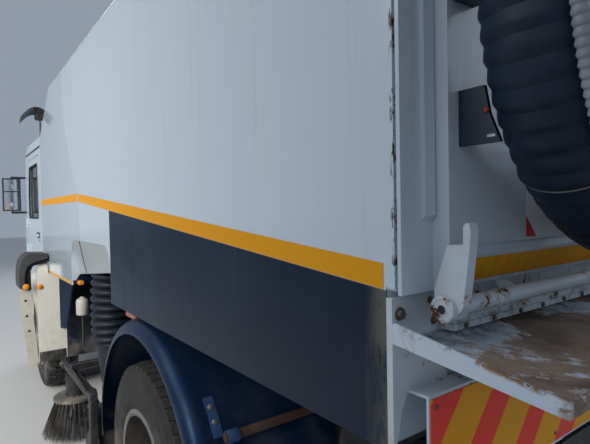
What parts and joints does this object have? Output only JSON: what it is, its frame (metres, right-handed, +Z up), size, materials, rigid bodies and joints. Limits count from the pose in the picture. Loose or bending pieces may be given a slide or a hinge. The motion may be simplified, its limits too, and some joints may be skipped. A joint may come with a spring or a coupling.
{
  "type": "truck-mounted vacuum street sweeper",
  "caption": "Two-axle truck sweeper: tipping hopper with top-hung rear door, engine canopy, tilting cab, side brushes, wide broom, suction nozzles and a stowed hand suction hose",
  "frame": {"origin": "on the ground below the middle of the length and width", "axes": "+X forward, +Y left, +Z up"},
  "size_m": [6.6399, 2.8, 3.0098],
  "materials": {
    "frame_black": "satin black chassis paint, dusty",
    "engine_iron": "grimy casting",
    "tank_metal": "plain sheet",
    "guard_black": "glossy black moulding with dust",
    "guard_white": "white paint, dusty",
    "canopy_white": "glossy white moulding",
    "bumper_grey": "grained moulding",
    "lamp_clear": "clear lens",
    "lamp_red": "red lens",
    "lamp_amber": "amber lens",
    "hose_rubber": "ribbed dark rubber",
    "cab_white": "gloss white",
    "glass": "tinted safety glass",
    "seat_fabric": "woven dark cloth",
    "dash_plastic": "grained dark plastic",
    "trim_black": "black plastic",
    "body_white": "gloss white with rust at the seams",
    "board_stripes": "red and yellow slanting stripes",
    "tray_rust": "white paint worn to brown rust",
    "tank_plastic": "moulded tank",
    "cylinder_black": "black paint",
    "rod_chrome": "polished rod",
    "tyre": "dusty rubber",
    "wheel_paint": "silver paint, brake dust",
    "bristles": "black bristles"
  },
  "bodies": {
    "chassis": {"chassis_frame": "frame_black", "subframe": "frame_black", "front_axle": "frame_black", "rear_axle": "frame_black", "leaf_springs": "frame_black", "engine": "engine_iron", "fuel_tank": "tank_metal", "battery_box": "frame_black", "air_tanks": "frame_black", "rear_mudguards": "guard_black", "front_mudguards": "guard_white", "engine_canopy": "canopy_white", "front_bumper": "bumper_grey", "headlamps": "lamp_clear", "steps": "bumper_grey", "brush_brackets": "frame_black", "suction_nozzles": "frame_black", "suction_hoses": "hose_rubber", "underrun_bar": "frame_black", "rear_lamps": "lamp_red"},
    "cab": {"cab_shell": "cab_white", "cab_glass": "glass", "seats": "seat_fabric", "dashboard": "dash_plastic", "grille": "trim_black", "mirrors": "trim_black", "beacon": "lamp_amber"},
    "cab_door_left": {"cab_door_left": "cab_white", "door_glass_left": "glass"},
    "cab_door_right": {"cab_door_right": "cab_white", "door_glass_right": "glass"},
    "hopper": {"hopper_shell": "body_white", "hopper_rear_frame": "body_white", "marker_boards": "board_stripes", "rear_tray": "tray_rust", "tipping_frame": "frame_black", "water_tanks": "tank_plastic"},
    "rear_door": {"rear_door": "body_white", "latch_shaft": "body_white", "wander_hose": "hose_rubber", "hose_brackets": "frame_black"},
    "tip_barrels": {"tip_cylinder_barrels": "cylinder_black"},
    "tip_rods": {"tip_cylinder_rods": "rod_chrome"},
    "knuckle_left": {"knuckle_left": "frame_black"},
    "knuckle_right": {"knuckle_right": "frame_black"},
    "front_wheel_left": {"front_tyre_left": "tyre", "front_wheel_left": "wheel_paint"},
    "front_wheel_right": {"front_tyre_right": "tyre", "front_wheel_right": "wheel_paint"},
    "rear_wheels_left": {"rear_tyres_left": "tyre", "rear_wheels_left": "wheel_paint"},
    "rear_wheels_right": {"rear_tyres_right": "tyre", "rear_wheels_right": "wheel_paint"},
    "side_brush_arm_left": {"side_brush_arm_left": "frame_black"},
    "side_brush_arm_right": {"side_brush_arm_right": "frame_black"},
    "side_brush_left": {"side_brush_left": "bristles"},
    "side_brush_right": {"side_brush_right": "bristles"},
    "broom_arms": {"broom_arms": "frame_black"},
    "wide_broom": {"wide_broom": "bristles"}
  },
  "joints": [
    {"name": "hopper_tip", "type": "hinge", "parent": "chassis", "child": "hopper", "pos_m": [-2.785, 0, 1.015], "axis": [0, -1, 0], "range_deg": [0, 48]},
    {"name": "tip_barrel_swing", "type": "hinge", "parent": "chassis", "child": "tip_barrels", "pos_m": [-1.735, 0, 0.6], "axis": [0, -1, 0], "range_deg": [-1.14, 0]},
    {"name": "tip_rod_slide", "type": "slide", "parent": "tip_barrels", "child": "tip_rods", "axis": [-0.666, 0, 0.7459], "range_m": [0, 0.46231]},
    {"name": "rear_door_swing", "type": "hinge", "parent": "hopper", "child": "rear_door", "pos_m": [-2.98, 0, 2.935], "axis": [0, 1, 0], "range_deg": [0, 60]},
    {"name": "cab_tilt", "type": "hinge", "parent": "chassis", "child": "cab", "pos_m": [3.19, 0, 0.935], "axis": [0, 1, 0], "range_deg": [0, 50]},
    {"name": "cab_door_left_swing", "type": "hinge", "parent": "cab", "child": "cab_door_left", "pos_m": [2.959, 1.164, 1.55], "axis": [0, 0, -1], "range_deg": [0, 68]},
    {"name": "cab_door_right_swing", "type": "hinge", "parent": "cab", "child": "cab_door_right", "pos_m": [2.959, -1.164, 1.55], "axis": [0, 0, 1], "range_deg": [0, 68]},
    {"name": "front_left_steer", "type": "hinge", "parent": "chassis", "child": "knuckle_left", "pos_m": [1.965, 0.85, 0.522], "axis": [0, 0, 1], "range_deg": [-32, 32]},
    {"name": "front_wheel_left_spin", "type": "hinge", "parent": "knuckle_left", "child": "front_wheel_left", "pos_m": [1.965, 1.055, 0.522], "axis": [0, 1, 0], "continuous": true},
    {"name": "rear_wheels_left_spin", "type": "hinge", "parent": "chassis", "child": "rear_wheels_left", "pos_m": [-1.305, 0.9, 0.522], "axis": [0, 1, 0], "continuous": true},
    {"name": "side_brush_arm_left_swing", "type": "hinge", "parent": "chassis", "child": "side_brush_arm_left", "pos_m": [0.505, 0.56, 0.51], "axis": [0, 0, -1], "range_deg": [0, 24]},
    {"name": "side_brush_left_spin", "type": "hinge", "parent": "side_brush_arm_left", "child": "side_brush_left", "pos_m": [0.565, 1.14, 0.35], "axis": [0, 0, 1], "continuous": true},
    {"name": "front_right_steer", "type": "hinge", "parent": "chassis", "child": "knuckle_right", "pos_m": [1.965, -0.85, 0.522], "axis": [0, 0, 1], "range_deg": [-32, 32]},
    {"name": "front_wheel_right_spin", "type": "hinge", "parent": "knuckle_right", "child": "front_wheel_right", "pos_m": [1.965, -1.055, 0.522], "axis": [0, 1, 0], "continuous": true},
    {"name": "rear_wheels_right_spin", "type": "hinge", "parent": "chassis", "child": "rear_wheels_right", "pos_m": [-1.305, -0.9, 0.522], "axis": [0, 1, 0], "continuous": true},
    {"name": "side_brush_arm_right_swing", "type": "hinge", "parent": "chassis", "child": "side_brush_arm_right", "pos_m": [0.505, -0.56, 0.51], "axis": [0, 0, 1], "range_deg": [0, 24]},
    {"name": "side_brush_right_spin", "type": "hinge", "parent": "side_brush_arm_right", "child": "side_brush_right", "pos_m": [0.565, -1.14, 0.35], "axis": [0, 0, 1], "continuous": true},
    {"name": "wide_broom_lift", "type": "hinge", "parent": "chassis", "child": "broom_arms", "pos_m": [0.365, 0, 0.56], "axis": [0, 1, 0], "range_deg": [0, 7]},
    {"name": "wide_broom_spin", "type": "hinge", "parent": "broom_arms", "child": "wide_broom", "pos_m": [-0.035, 0, 0.225], "axis": [0, 1, 0], "continuous": true}
  ],
  "couplings": [
    {"joint": "front_right_steer", "follows": "front_left_steer", "ratio": 1},
    {"joint": "tip_barrel_swing", "follows": "hopper_tip", "ratio": -0.02376},
    {"joint": "tip_rod_slide", "follows": "hopper_tip", "m_per_rad": 0.55184}
  ]
}
